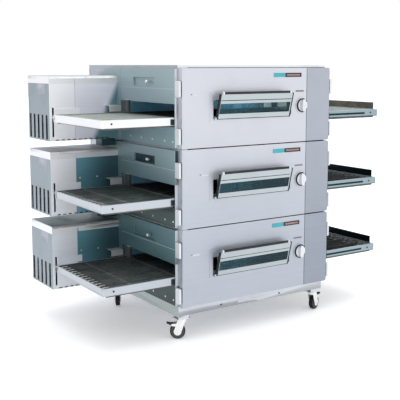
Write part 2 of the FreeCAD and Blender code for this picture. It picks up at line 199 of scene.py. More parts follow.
def softened(node, material, width, *others, cuts=()):
    """A CAD node with rounded sheet edges: each of its solids is rounded on its own."""
    piece = copy_node(node, node + "_finished")
    bpy.ops.object.mode_set(mode="EDIT")
    bpy.ops.mesh.separate(type="LOOSE")
    close_edit()
    solids = list(bpy.context.selected_objects)
    for solid in solids:
        low, high = reach_of(solid)
        round_edges(solid, width)
        keep_inside(solid, low, high)
    piece = join_pieces(node + "_finished", solids)
    for place, across in cuts:
        split_faces(piece, place, across)
    even_shading(piece)
    dress(piece, material, *others)
    return finish_copy(piece, node)


# Material helpers

def start_group(name, inputs, outputs):
    tree = bpy.data.node_groups.new(name, "ShaderNodeTree")
    for label, kind, value in inputs:
        socket = tree.interface.new_socket(name=label, in_out="INPUT", socket_type="NodeSocket" + kind)
        socket.default_value = value
    for label, kind in outputs:
        tree.interface.new_socket(name=label, in_out="OUTPUT", socket_type="NodeSocket" + kind)
    return tree, tree.nodes.new("NodeGroupInput").outputs, tree.nodes.new("NodeGroupOutput").inputs


def add_node(tree, kind, **settings):
    node = tree.nodes.new("ShaderNode" + kind)
    for key, value in settings.items():
        setattr(node, key, value)
    return node


def wire(tree, source, target):
    tree.links.new(source, target)


def stretched_noise(tree, scale_socket, scale, detail):
    """Noise on object coordinates, stretched by a scale vector."""
    place = add_node(tree, "TexCoord")
    mapping = add_node(tree, "Mapping")
    wire(tree, place.outputs["Object"], mapping.inputs["Vector"])
    if scale_socket:
        wire(tree, scale_socket, mapping.inputs["Scale"])
    noise = add_node(tree, "TexNoise")
    noise.inputs["Scale"].default_value = scale
    noise.inputs["Detail"].default_value = detail
    wire(tree, mapping.outputs["Vector"], noise.inputs["Vector"])
    return noise.outputs["Fac"]


def ranged(tree, value, low, high, to_low=0.0, to_high=1.0):
    node = add_node(tree, "MapRange", interpolation_type="SMOOTHSTEP")
    for label, number in (("From Min", low), ("From Max", high), ("To Min", to_low), ("To Max", to_high)):
        node.inputs[label].default_value = number
    wire(tree, value, node.inputs["Value"])
    return node.outputs["Result"]


def arithmetic(tree, operation, first, second):
    node = add_node(tree, "Math", operation=operation)
    for socket, value in zip(node.inputs, (first, second)):
        if isinstance(value, (int, float)):
            socket.default_value = value
        else:
            wire(tree, value, socket)
    return node.outputs["Value"]


def blended(tree, factor, first, second):
    """A colour mix: first where the factor is 0, second where it is 1."""
    node = add_node(tree, "Mix", data_type="RGBA")
    wire(tree, factor, node.inputs[0])
    for socket, value in ((node.inputs[6], first), (node.inputs[7], second)):
        if isinstance(value, tuple):
            socket.default_value = (*value, 1)
        else:
            wire(tree, value, socket)
    return node.outputs[2]


def make_grain_group():
    tree, given, result = start_group(
        "brushed grain", [("Along", "Vector", (3, 260, 300))], [("Streaks", "Float"), ("Fine", "Float")])
    fine = stretched_noise(tree, given["Along"], 4.0, 4)
    wide = stretched_noise(tree, given["Along"], 0.35, 3)
    wire(tree, ranged(tree, wide, 0.3, 0.7), result["Streaks"])
    wire(tree, fine, result["Fine"])
    return tree


def make_smudge_group():
    tree, given, result = start_group(
        "smudges", [("Size", "Vector", (3, 3, 3))], [("Mask", "Float"), ("Patches", "Float")])
    wipes = stretched_noise(tree, given["Size"], 2.0, 5)
    patches = stretched_noise(tree, given["Size"], 0.7, 2)
    wire(tree, ranged(tree, wipes, 0.45, 0.75), result["Mask"])
    wire(tree, ranged(tree, patches, 0.3, 0.7), result["Patches"])
    return tree


def make_wear_group():
    """A mask of worn edges: where a rounded normal leaves the true one."""
    tree, given, result = start_group("edge wear", [("Reach", "Float", 0.002)], [("Mask", "Float")])
    rounded = add_node(tree, "Bevel", samples=4)
    wire(tree, given["Reach"], rounded.inputs["Radius"])
    true_normal = add_node(tree, "NewGeometry")
    match = add_node(tree, "VectorMath", operation="DOT_PRODUCT")
    wire(tree, rounded.outputs["Normal"], match.inputs[0])
    wire(tree, true_normal.outputs["Normal"], match.inputs[1])
    edge = ranged(tree, match.outputs["Value"], 0.8, 0.995, 1.0, 0.0)
    broken = stretched_noise(tree, None, 40.0, 3)
    wire(tree, arithmetic(tree, "MULTIPLY", edge, ranged(tree, broken, 0.3, 0.6)), result["Mask"])
    return tree


grain_group = make_grain_group()
smudge_group = make_smudge_group()
wear_group = make_wear_group()


def add_group(tree, group, **values):
    node = add_node(tree, "Group", node_tree=group)
    for label, value in values.items():
        node.inputs[label.replace("_", " ")].default_value = value
    return node.outputs


def start_material(name, roughness, metallic):
    material = bpy.data.materials.new(name)
    material.use_nodes = True
    shader = material.node_tree.nodes["Principled BSDF"].inputs
    shader["Roughness"].default_value = roughness
    shader["Metallic"].default_value = metallic
    return material, material.node_tree, shader


def add_bump(tree, shader, height, strength, distance):
    bump = add_node(tree, "Bump")
    bump.inputs["Strength"].default_value = strength
    bump.inputs["Distance"].default_value = distance
    wire(tree, height, bump.inputs["Height"])
    wire(tree, bump.outputs["Normal"], shader["Normal"])


def shade(colour, factor):
    return tuple(channel * factor for channel in colour)


def sheet_steel(name, colour, roughness, along, wear=0.5, smudge=0.12, metallic=1.0):
    """Brushed sheet: grain that runs one way, wiped smudges, and pale edges that are partly wear and partly a
    painted highlight.
    """
    material, tree, shader = start_material(name, roughness, metallic)
    grain = add_group(tree, grain_group, Along=along)
    smudges = add_group(tree, smudge_group)
    edges = add_group(tree, wear_group)
    base = blended(tree, grain["Streaks"], shade(colour, 0.975), shade(colour, 1.015))
    base = blended(tree, arithmetic(tree, "MULTIPLY", smudges["Patches"], 0.2), base, shade(colour, 0.86))
    # Pale edges: partly wear, partly a painted edge highlight.
    base = blended(tree, arithmetic(tree, "MULTIPLY", edges["Mask"], wear), base, (0.9, 0.91, 0.93))
    wire(tree, base, shader["Base Color"])
    rough = arithmetic(tree, "MULTIPLY", grain["Fine"], 0.14)
    rough = arithmetic(tree, "ADD", rough, roughness - 0.07)
    rough = arithmetic(tree, "ADD", rough, arithmetic(tree, "MULTIPLY", smudges["Mask"], smudge))
    wire(tree, rough, shader["Roughness"])
    add_bump(tree, shader, grain["Fine"], 0.1, 0.0003)
    return material


def slope_mask(tree, direction, low, high):
    """A smooth step across the object: 0 below the low distance along the direction, 1 above the high."""
    place = add_node(tree, "TexCoord")
    along = add_node(tree, "VectorMath", operation="DOT_PRODUCT")
    along.inputs[1].default_value = direction
    wire(tree, place.outputs["Object"], along.inputs[0])
    return ranged(tree, along.outputs["Value"], low, high)


def toned_steel(name, near, far, roughness, along, direction, low, high, metallic=1.0):
    """Brushed sheet with painted shade: its tone changes from one end to the other."""
    material = sheet_steel(name, near, roughness, along, smudge=0.06, metallic=metallic)
    tree = material.node_tree
    base = tree.nodes["Principled BSDF"].inputs["Base Color"]
    plain = base.links[0].from_socket
    wire(tree, blended(tree, slope_mask(tree, direction, low, high), plain, far), base)
    return material


along_x, along_y, along_z = (3, 260, 300), (260, 3, 300), (300, 260, 3)
every_way = (40, 40, 40)
upward = (0, 0, 1)
panel_end = spot("upper", -16, 808, 390)
leaning = (1, 0, -0.5)
lean_start = panel_end.x - 0.5 * panel_end.z
# Painted shade: the door steel is darker towards the bottom of the stack.
door_steel = toned_steel(
    "satin door steel", (0.44, 0.47, 0.525), (0.58, 0.595, 0.64), 0.46, along_x, upward, 0.5, 1.6, 0.8)
housing_steel = sheet_steel("housing steel", (0.40, 0.43, 0.48), 0.42, along_x)
# Painted shade: the corner panel steel is darker towards the bottom; it is also darker than the doors.
corner_steel = toned_steel(
    "corner panel steel", (0.295, 0.33, 0.38), (0.385, 0.41, 0.465), 0.46, along_x, upward, 0.4, 1.6, 0.8)
# Painted shade and reflection: the end panels' dark teal stands for their shade and the dark things they reflect,
# darker towards the bottom.
end_steel = toned_steel(
    "end panel steel", (0.11, 0.21, 0.23), (0.30, 0.40, 0.43), 0.4, along_y, upward, 0.55, 1.5, 0.5)
# Painted shade: the end panels below the tunnels are darker still.
low_end_steel = toned_steel(
    "lower end panel steel", (0.05, 0.075, 0.075), (0.21, 0.32, 0.35), 0.4, along_y, upward, 0.85, 1.3, 0.5)
# Painted light: the end panels' front edges get a pale, less metallic tone.
edge_steel = sheet_steel("panel edge steel", (0.68, 0.71, 0.74), 0.4, along_z, metallic=0.4)
# Painted shade: near-black steel for a recessed pocket, the louvre blades and the box undersides.
pocket_steel = sheet_steel("pocket steel", (0.05, 0.08, 0.09), 0.3, along_y)
# Painted light: the control box's front-left panel is pale and little metallic, paler towards the top.
box_steel = toned_steel(
    "control box steel", (0.76, 0.80, 0.86), (0.85, 0.86, 0.89), 0.46, along_x, upward, 0.5, 1.3, 0.2)
lid_steel = sheet_steel("bright lid steel", (0.78, 0.79, 0.81), 0.4, along_x, metallic=0.6)
# Painted shade: the lid tops are darker than the lids, darkest on the lower deck.
lid_top_steel = sheet_steel("lid top steel", (0.30, 0.34, 0.37), 0.4, along_x, metallic=0.6)
low_lid_top_steel = sheet_steel("low lid top steel", (0.11, 0.17, 0.19), 0.4, along_x, metallic=0.6)
box_body_steel = sheet_steel("control box body steel", (0.46, 0.49, 0.54), 0.44, along_x, metallic=0.8)
# Painted shade: the control box's left end is darker than its body.
box_end_steel = sheet_steel("control box end steel", (0.29, 0.335, 0.37), 0.46, along_z, metallic=0.7)
plate_steel = sheet_steel("anodised plate", (0.38, 0.40, 0.47), 0.4, along_z, metallic=0.7)
# Painted shade and reflection: the right part of each box front is teal going to near black; on the upper box a
# pale band meets dark teal along a slanted line.
shaded_panel_steel = toned_steel(
    "shaded panel steel", (0.14, 0.34, 0.42), (0.06, 0.13, 0.16), 0.34, along_x,
    (1, 0, 0), panel_end.x - 0.30, panel_end.x - 0.05, 0.6)
upper_panel_steel = toned_steel(
    "upper panel steel", (0.76, 0.78, 0.87), (0.11, 0.22, 0.26), 0.4, along_x,
    leaning, lean_start - 0.035, lean_start + 0.025, 0.15)
# Painted shade: the rail steel is darker towards the bottom of the stack.
rail_steel = toned_steel(
    "bright rail steel", (0.47, 0.50, 0.54), (0.78, 0.79, 0.81), 0.36, along_x, upward, 0.8, 1.4, 0.6)
far_rail_steel = sheet_steel("shaded rail steel", (0.27, 0.36, 0.39), 0.36, along_x, metallic=0.7)
# Partly painted shade: this dark steel also darkens grooves, lips and stops that lie in shade.
dark_hook_and_shade_steel = sheet_steel("dark hook steel and painted shade", (0.02, 0.035, 0.04), 0.35, along_x)
# Painted sheen: the belt's end loops are near white.
sheen_loop_wire = sheet_steel("link wire with painted sheen", (0.80, 0.81, 0.80), 0.3, every_way)
# Painted shade: the hatch's lower rail is darker than its frame.
low_frame_steel = sheet_steel("hatch lower rail steel", (0.22, 0.26, 0.29), 0.36, along_x, metallic=0.8)
frame_steel = sheet_steel("hatch frame steel", (0.44, 0.49, 0.51), 0.36, along_x, metallic=0.8)
surround_steel = sheet_steel("hatch surround steel", (0.74, 0.76, 0.79), 0.4, along_x, metallic=0.7)
latch_steel = sheet_steel("latch steel", (0.66, 0.68, 0.71), 0.3, along_x, wear=0.8, metallic=0.8)
stand_steel = sheet_steel("stand steel", (0.64, 0.66, 0.70), 0.42, along_x, metallic=0.5)
# Painted shade and highlight: darkens the stand's sides and draws a pale crease line on the end panels.
stand_end_steel = sheet_steel("stand end steel", (0.46, 0.52, 0.52), 0.42, along_y, metallic=0.5)
zinc = sheet_steel("zinc plate", (0.82, 0.83, 0.82), 0.3, every_way, wear=0.7, metallic=0.7)


def baked_metal(name, colour, patch_colour, roughness):
    """Steel under baked-on grease: blotches of two browns and a rough, uneven gloss. Some of the colours it is
    given are painted shade, sheen or reflection.
    """
    material, tree, shader = start_material(name, roughness, 0.75)
    blotches = add_group(tree, smudge_group, Size=(14, 14, 14))
    edges = add_group(tree, wear_group, Reach=0.001)
    base = blended(tree, blotches["Patches"], colour, patch_colour)
    base = blended(tree, arithmetic(tree, "MULTIPLY", edges["Mask"], 0.4), base, (0.45, 0.45, 0.44))
    wire(tree, base, shader["Base Color"])
    wire(tree, ranged(tree, blotches["Mask"], 0, 1, roughness, roughness + 0.25), shader["Roughness"])
    add_bump(tree, shader, blotches["Mask"], 0.3, 0.0006)
    return material


lining = baked_metal("heat-tinted lining", (0.10, 0.10, 0.09), (0.20, 0.17, 0.13), 0.45)
# Painted reflection: this blue stands for blue reflections, on the air fingers and the chambers' back plates.
blue_reflection_steel = baked_metal("steel with painted blue reflection", (0.24, 0.56, 0.80), (0.36, 0.68, 0.88), 0.35)
# Painted shade: the trays are browned and darkened further as shade under the belts; the inner frame steel is dark
# for the shade under the belts and in the jambs.
browned_shaded_tray_steel = baked_metal("browned tray steel in painted shade", (0.13, 0.13, 0.12), (0.24, 0.21, 0.17), 0.5)
shaded_inner_steel = baked_metal("frame steel in painted shade", (0.08, 0.09, 0.09), (0.14, 0.14, 0.125), 0.45)
# Partly soot, partly painted shade: the chamber lining is near black inside the tunnels.
dark_lining = baked_metal("sooted lining in painted shade", (0.012, 0.025, 0.03), (0.03, 0.05, 0.055), 0.5)
belt_wire = baked_metal("dark belt wire", (0.07, 0.105, 0.11), (0.17, 0.21, 0.205), 0.38)
# Painted shade: near-black belt wire inside the tunnels.
shaded_belt_wire = baked_metal("belt wire in painted shade", (0.018, 0.026, 0.028), (0.05, 0.056, 0.055), 0.4)
# Painted sheen: the upper belt's paler wire.
sheen_belt_wire = baked_metal("belt wire with painted sheen", (0.29, 0.35, 0.33), (0.42, 0.45, 0.42), 0.4)
rubbed_wire = baked_metal("rubbed belt wire", (0.30, 0.32, 0.29), (0.40, 0.41, 0.37), 0.35)
casting = baked_metal("motor casting", (0.09, 0.10, 0.11), (0.13, 0.14, 0.15), 0.5)


def moulded(name, colour, worn_colour, roughness, speckle):
    """Moulded rubber or plastic: fine pebble, dusty patches and paler worn edges."""
    material, tree, shader = start_material(name, roughness, 0.0)
    shader["Specular IOR Level"].default_value = 0.3
    dust = add_group(tree, smudge_group, Size=(9, 9, 9))
    edges = add_group(tree, wear_group, Reach=0.0015)
    base = blended(tree, arithmetic(tree, "MULTIPLY", dust["Mask"], 0.35), colour, worn_colour)
    base = blended(tree, arithmetic(tree, "MULTIPLY", edges["Mask"], 0.5), base, worn_colour)
    wire(tree, base, shader["Base Color"])
    wire(tree, ranged(tree, dust["Patches"], 0, 1, roughness, roughness + 0.15), shader["Roughness"])
    add_bump(tree, shader, stretched_noise(tree, None, speckle, 3), 0.25, 0.0004)
    return material


# Partly painted shade: the black gasket also fills door seams, slot floors, hatch edges and the latch ring.
gasket_and_shade = moulded("black gasket and painted shade", (0.010, 0.012, 0.014), (0.03, 0.032, 0.035), 0.6, 200)
grip_black = moulded("black grip", (0.012, 0.013, 0.015), (0.05, 0.052, 0.055), 0.35, 400)
tyre_rubber = moulded("tyre rubber", (0.006, 0.007, 0.008), (0.03, 0.03, 0.03), 0.7, 250)
pedal_plastic = moulded("pedal plastic", (0.015, 0.015, 0.016), (0.06, 0.06, 0.06), 0.45, 300)
hub_plastic = moulded("hub plastic", (0.05, 0.052, 0.055), (0.12, 0.12, 0.12), 0.4, 300)
badge_blue = moulded("badge teal enamel", (0.06, 0.38, 0.44), (0.12, 0.46, 0.52), 0.35, 120)
badge_grey = moulded("badge grey enamel", (0.025, 0.02, 0.025), (0.06, 0.055, 0.06), 0.35, 120)
badge_stripe = moulded("badge stripe enamel", (0.32, 0.19, 0.19), (0.42, 0.30, 0.30), 0.35, 120)
label_grey = moulded("etched label", (0.16, 0.17, 0.19), (0.3, 0.32, 0.34), 0.4, 500)
label_pale = moulded("pale label", (0.60, 0.60, 0.66), (0.66, 0.66, 0.72), 0.5, 200)


def make_glass():
    material, tree, shader = start_material("oven glass", 0.04, 0.0)
    shader["Transmission Weight"].default_value = 1.0
    shader["IOR"].default_value = 1.45
    shader["Specular Tint"].default_value = (0.30, 0.72, 0.90, 1)
    # Painted reflection and shade: the glass is bluer with streaks on the left, and darker towards the right.
    film_and_reflection = add_group(tree, smudge_group, Size=(40, 5, 0.8))
    left = blended(tree, film_and_reflection["Mask"], (0.50, 0.86, 0.98), (0.26, 0.50, 0.60))
    across = slope_mask(tree, (1, 0, 0), -0.22, 0.06)
    wire(tree, blended(tree, across, left, (0.12, 0.16, 0.16)), shader["Base Color"])
    wire(tree, ranged(tree, film_and_reflection["Mask"], 0, 1, 0.03, 0.12), shader["Roughness"])
    return material


glass = make_glass()


# Camera, light and floor

def make_camera():
    data = bpy.data.cameras.new("camera")
    camera = bpy.data.objects.new("camera", data)
    bpy.context.scene.collection.objects.link(camera)
    data.lens = 71.74
    data.shift_y = -0.1
    camera.location = (-3.2156, -4.7466, 1.7535)
    camera.rotation_euler = (radians(90 - 6.779), 0, radians(-33.572))
    bpy.context.scene.camera = camera


def add_soft_light(name, place, target, size, power):
    data = bpy.data.lights.new(name, "AREA")
    data.size = size
    data.energy = power
    light = bpy.data.objects.new(name, data)
    light.location = place
    light.rotation_euler = (Vector(target) - Vector(place)).to_track_quat("-Z", "Y").to_euler()
    bpy.context.scene.collection.objects.link(light)


def make_studio():
    world = bpy.data.worlds.new("studio")
    bpy.context.scene.world = world
    world.use_nodes = True
    tree = world.node_tree
    lighting = tree.nodes["Background"]
    lighting.inputs["Color"].default_value = (0.985, 0.99, 1.0, 1)
    lighting.inputs["Strength"].default_value = 1.06
    backdrop = add_node(tree, "Background")
    backdrop.inputs["Color"].default_value = (1, 1, 1, 1)
    seen = add_node(tree, "LightPath")
    mix = add_node(tree, "MixShader")
    wire(tree, seen.outputs["Is Camera Ray"], mix.inputs[0])
    wire(tree, lighting.outputs[0], mix.inputs[1])
    wire(tree, backdrop.outputs[0], mix.inputs[2])
    wire(tree, mix.outputs[0], tree.nodes["World Output"].inputs["Surface"])
    middle = (0, 0, 0.9)
    add_soft_light("front softbox", (4.0, -8.0, 3.5), middle, 8.0, 36)
    add_soft_light("overhead softbox", (0, 0, 6.0), middle, 5.0, 110)
    bpy.context.scene.view_settings.view_transform = "Standard"


def make_floor():
    bpy.ops.object.select_all(action="DESELECT")
    bpy.ops.mesh.primitive_circle_add(vertices=96, radius=40, fill_type="NGON", location=(0, 0, 0))
    floor = settle("studio_floor")
    material, tree, shader = start_material("pale studio floor", 0.85, 0.0)
    dust = add_group(tree, smudge_group, Size=(0.6, 0.6, 0.6))
    wire(tree, blended(tree, dust["Patches"], (0.93, 0.94, 0.95), (0.95, 0.95, 0.96)), shader["Base Color"])
    shader["Emission Color"].default_value = (1, 1, 1, 1)
    shader["Emission Strength"].default_value = 0.25
    dress(floor, material)


make_camera()
make_studio()
make_floor()


# Wire belts

belt_pitch = 15.0 * mm
wire_radius = 1.1 * mm
hook_count = 13
loop_count = 13


def wire_along(name, points, radius, roundness):
    """A wire that follows a list of points, as a closed mesh."""
    data = bpy.data.curves.new(name, "CURVE")
    data.dimensions = "3D"
    data.bevel_depth = radius
    data.bevel_resolution = roundness
    data.use_fill_caps = True
    spline = data.splines.new("POLY")
    spline.points.add(len(points) - 1)
    for place, point in zip(points, spline.points):
        point.co = (*place, 1)
    piece = bpy.data.objects.new(name, data)
    bpy.context.scene.collection.objects.link(piece)
    take(piece)
    bpy.ops.object.convert(target="MESH")
    return bpy.context.object


def make_plain_strand(x, z, front, rear):
    """One wire across the belt where it turns round the end shaft."""
    return wire_along("turn_strand", [(x, front, z), (x, rear, z)], wire_radius, 0)


def make_strand(x, z, front, rear, pitch):
    """One wire across the belt, with a hook at each link that catches the next wire."""
    spacing = (rear - front) / hook_count
    reach = pitch + wire_radius * 1.3
    points = [(x, front, z)]
    for i in range(hook_count):
        y = front + (i + 0.5) * spacing
        points += [(x, y - 9 * mm, z), (x + reach, y - 7 * mm, z + 0.3 * mm)]
        points += [(x + reach, y + 7 * mm, z + 0.3 * mm), (x, y + 9 * mm, z)]
    points.append((x, rear, z))
    return wire_along("strand", points, wire_radius, 0)


def turned_copy(piece, angle, centre):
    """A copy with its own mesh, turned about a line through the centre along Y."""
    take(piece)
    bpy.ops.object.duplicate()
    copy = bpy.context.object
    spin = Matrix.Rotation(angle, 4, "Y")
    copy.data.transform(Matrix.Translation(centre) @ spin @ Matrix.Translation(-centre))
    return copy


def make_belt(deck):
    node = deck + "_conveyor_belt"
    low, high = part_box(node)
    middle = (low + high) / 2
    radius = (high.z - low.z) / 2
    left, right = low.x + radius, high.x - radius
    count = round((right - left) / belt_pitch)
    pitch = (right - left) / count
    edge_low, edge_high = low.y + wire_radius, high.y - wire_radius
    strand = make_strand(left, high.z - 1.5 * mm, edge_low, edge_high, pitch)
    shaft = Vector((left, 0, middle.z))
    turn_strand = make_plain_strand(left, high.z - 1.5 * mm, edge_low, edge_high)
    arc = [turned_copy(turn_strand, -i * pi / 6, shaft) for i in range(1, 6)]
    bpy.data.objects.remove(turn_strand)
    take(strand)
    array = strand.modifiers.new("row", "ARRAY")
    array.count = count
    array.use_relative_offset = False
    array.use_constant_offset = True
    array.constant_offset_displace = (pitch, 0, 0)
    bpy.ops.object.modifier_apply(modifier=array.name)
    half = join_pieces("half_belt", [strand] + arc)
    other = turned_copy(half, pi, middle)
    belt = join_pieces(node + "_wires", [half, other])
    bpy.ops.object.shade_smooth_by_angle(angle=radians(50))
    rubbed = picks(deck, lambda p, n: p.z > 190 and min(abs(p.x + 327), abs(p.x)) < 9)
    # Painted shade: the belt wires are near black inside the tunnels, and on the lower two decks on to the belt's
    # right end.
    shade_end = body_length if deck == "upper" else 2 * body_length
    in_painted_shade = picks(deck, lambda p, n: 20 < p.x < shade_end)
    # Painted sheen: the upper belt's wire is paler.
    main_wire = sheen_belt_wire if deck == "upper" else belt_wire
    dress(belt, main_wire, (rubbed_wire, rubbed), (shaded_belt_wire, in_painted_shade))
    return finish_copy(belt, node)


# Deck pieces

hatch_left, hatch_right, window_low = 247, 845, 184


def local(deck, point):
    """Millimetres from the body's left end, the doors' face and the deck's floor."""
    return (point - deck_corner[deck]) / mm


def picks(deck, test):
    """A face test written in the deck's own millimetres."""
    return lambda centre, normal: test(local(deck, centre), normal)


def dress_housing(deck):
    # Painted shade: the housing face seen through the door seams, and the slot floors, are black.
    seam = picks(deck, lambda p, n: n.y < -0.9 and abs(p.y - 50) < 1 and p.z < 503 and p.x > 1)
    slots = picks(deck, lambda p, n: 1280 < p.y < 1284 and n.y > 0.9)
    cap = picks(deck, lambda p, n: p.z > 503 and p.y < 60)
    corner = picks(deck, lambda p, n: p.x > 1005 and p.y < 50 and 3 < p.z < 502)
    softened(deck + "_housing", housing_steel, 1.5 * mm, (gasket_and_shade, seam), (gasket_and_shade, slots), (lid_steel, cap),
             (corner_steel, corner))


def dress_end_panels(deck):
    split_y, crease = 760, (370, 374)
    jamb_y, jamb_low, jamb_high = 600, 198, 290

    # Painted shade: the jambs are dark.
    def is_jamb(p, normal):
        outside = abs(p.x - body_length / 2) > body_length / 2 + 23
        return outside and jamb_y < p.y and jamb_low < p.z < jamb_high

    def is_cap(p, normal):
        return is_jamb(p, normal) and p.z > 279

    # Painted light: the pale front edges.
    def is_front(p, normal):
        return p.y < 49.5 or (p.y < 51 and normal.y < -0.5)

    # Painted shade: only the middle deck's pockets are darkened.
    def is_pocket(p, normal):
        return deck == "middle" and 8 < min(p.x + 22, body_length + 22 - p.x) < 14 and 384 < p.z < 441

    # Painted highlight: a pale line along the crease.
    def is_crease_highlight(p, normal):
        return normal.x < -0.9 and crease[0] < p.z < crease[1] and 55 < p.y < split_y and p.x < -20

    # Painted shade: darker below the tunnel.
    def is_low(p, normal):
        return p.z < 137.5 and 50 < p.y < split_y + 1

    cuts = [(spot(deck, 0, 0, z), (0, 0, 1)) for z in crease]
    softened(deck + "_end_panels", end_steel, 1.2 * mm, (low_end_steel, picks(deck, is_low)),
             (shaded_inner_steel, picks(deck, is_jamb)),
             (lid_steel, picks(deck, is_cap)), (edge_steel, picks(deck, is_front)),
             (pocket_steel, picks(deck, is_pocket)), (stand_end_steel, picks(deck, is_crease_highlight)), cuts=cuts)


def dress_hatch(deck):
    left_seal, right_seal = hatch_left + 12.5, hatch_right - 9.5
    sides = [(spot(deck, x, 0, 0), (1, 0, 0)) for x in (left_seal, right_seal)]
    tilt, pivot_y = radians(15), -8.5

    # Painted shade: the hatch's side edges and the underside of its hinge are black.
    def is_dark(p, normal):
        return p.x < left_seal or p.x > right_seal or p.z < window_low + 3

    def height(p):
        """How far a point lies up the tilted hatch from its hinge."""
        return (pivot_y - p.y) * sin(tilt) + (p.z - window_low) * cos(tilt)

    # Painted shade: the darker lower rail.
    def is_low_rail(p, normal):
        return height(p) < 27.5

    def is_groove(p, normal):
        out = (pivot_y - p.y) * cos(tilt) - (p.z - window_low) * sin(tilt)
        return 116.5 < height(p) < 121.5 and 1 < out < 5.9

    softened(deck + "_window_frame", frame_steel, 1.0 * mm, (low_frame_steel, picks(deck, is_low_rail)),
             (gasket_and_shade, picks(deck, is_dark)), (gasket_and_shade, picks(deck, is_groove)), cuts=sides)
    softened(deck + "_window_glass", glass, 0.4 * mm)
    posts = picks(deck, lambda p, n: p.x < 279.5 or p.x > 810.5)
    softened(deck + "_window_handle", grip_black, 0.8 * mm, (lid_steel, posts))
    make_surround(deck)


def make_surround(deck):
    """A thin pressed border round the hatch opening."""
    border = 7 * mm
    low, high = spot(deck, 219, -0.9, window_low - 14), spot(deck, 878, 0.4, 316)
    ring = add_block(deck + "_hatch_surround", low, high)
    open_faces(ring, lambda centre, normal: abs(normal.y) > 0.9)
    bpy.ops.mesh.inset(thickness=border, depth=0)
    bpy.ops.mesh.bridge_edge_loops()
    close_edit()
    round_edges(ring, 0.4 * mm)
    dress(ring, surround_steel)
    place_piece(ring, deck + "_door")


def dress_latch(deck):
    """The latch, and a black ring round it for the painted shade of its recess, cut off where the corner panel
    starts.
    """
    softened(deck + "_latch_knob", latch_steel, 1.6 * mm)
    bpy.ops.object.select_all(action="DESELECT")
    bpy.ops.mesh.primitive_torus_add(
        major_radius=43 * mm, minor_radius=4.5 * mm, major_segments=48, minor_segments=10,
        location=spot(deck, 962, -5.5, 249), rotation=(pi / 2, 0, 0))
    ring = settle(deck + "_latch_bezel")
    open_faces(ring, lambda centre, normal: centre.x > spot(deck, 998.5, 0, 0).x)
    bpy.ops.mesh.delete(type="FACE")
    close_edit()
    open_faces(ring, lambda centre, normal: True)
    bpy.ops.mesh.select_all(action="DESELECT")
    bpy.ops.mesh.select_mode(type="EDGE")
    bpy.ops.mesh.select_non_manifold()
    bpy.ops.mesh.edge_face_add()
    close_edit()
    bpy.ops.object.shade_smooth_by_angle(angle=radians(40))
    dress(ring, gasket_and_shade)
    place_piece(ring, deck + "_door")


def dress_conveyor(deck):
    rail_low, groove, groove_end = 149, (165, 179), body_length + 400

    # Painted shade: frame parts under the belt are dark.
    def is_shaded_inner(p, normal):
        return 65.5 < p.y < 731.5 and -520 < p.x < body_length + 520 and p.z < 196.5

    def is_hook(p, normal):
        return -51 < min(p.x, body_length - p.x) < -23 and p.y < 57

    def is_far_rail(p, normal):
        return p.x > body_length and p.y < 67 and p.z < 195

    # Painted shade: dark lines along the groove and bottom lip of the right-hand rails.
    def is_groove(p, normal):
        in_groove = groove[0] < p.z < groove[1] and p.x < groove_end
        return p.x > body_length and p.y < 57 and (in_groove or p.z < rail_low + 4)

    # Painted shade: the stops are darker on the lower two decks.
    def is_stop(p, normal):
        return p.x > body_length + 520 and p.z > 197.2

    cuts = [(spot(deck, 0, 0, z), (0, 0, 1)) for z in (rail_low + 4, *groove)]
    cuts.append((spot(deck, groove_end, 0, 0), (1, 0, 0)))
    softened(deck + "_conveyor_frame", rail_steel, 0.8 * mm, (far_rail_steel, picks(deck, is_far_rail)),
             (shaded_inner_steel, picks(deck, is_shaded_inner)), (dark_hook_and_shade_steel, picks(deck, is_hook)),
             (dark_hook_and_shade_steel, picks(deck, is_groove)),
             (browned_shaded_tray_steel if deck == "upper" else dark_hook_and_shade_steel, picks(deck, is_stop)), cuts=cuts)
    softened(deck + "_drive_shaft", rail_steel, 0.5 * mm)
    softened(deck + "_idler_shaft", rail_steel, 0.5 * mm)
    softened(deck + "_crumb_tray_left", browned_shaded_tray_steel, 0.3 * mm)
    softened(deck + "_crumb_tray_right", browned_shaded_tray_steel, 0.3 * mm)
    make_belt(deck)
    make_end_loops(deck)


def make_end_loops(deck):
    """Pale wire loops, a painted sheen, where the belt's links turn over the two end shafts."""
    low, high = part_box(deck + "_conveyor_belt")
    radius = (high.z - low.z) / 2
    thick = 2.4 * mm
    spread = 5 * mm
    loops = []
    for centre_x, side in ((low.x + radius, -1), (high.x - radius, 1)):
        turn_radius = radius - thick
        reach = -side * 34 * mm
        angles = [i * pi / 8 for i in range(9)]
        run = [Vector((side * sin(a) * turn_radius, 0, cos(a) * turn_radius)) for a in angles]
        across = Vector((0, spread, 0))
        tip = [Vector((reach * 0.9, -spread, turn_radius)), Vector((reach, -spread * 0.6, turn_radius)),
               Vector((reach, spread * 0.6, turn_radius)), Vector((reach * 0.9, spread, turn_radius))]
        points = [p - across for p in reversed(run)] + tip + [p + across for p in run]
        for i in range(loop_count):
            y = low.y + (i + 0.5) * (high.y - low.y) / loop_count
            place = Vector((centre_x, y, (low.z + high.z) / 2))
            loops.append(wire_along("loop", [place + p for p in points], thick, 1))
    piece = join_pieces(deck + "_belt_end_loops", loops)
    bpy.ops.object.shade_smooth_by_angle(angle=radians(60))
    dress(piece, sheen_loop_wire)
    place_piece(piece, "oven_body")


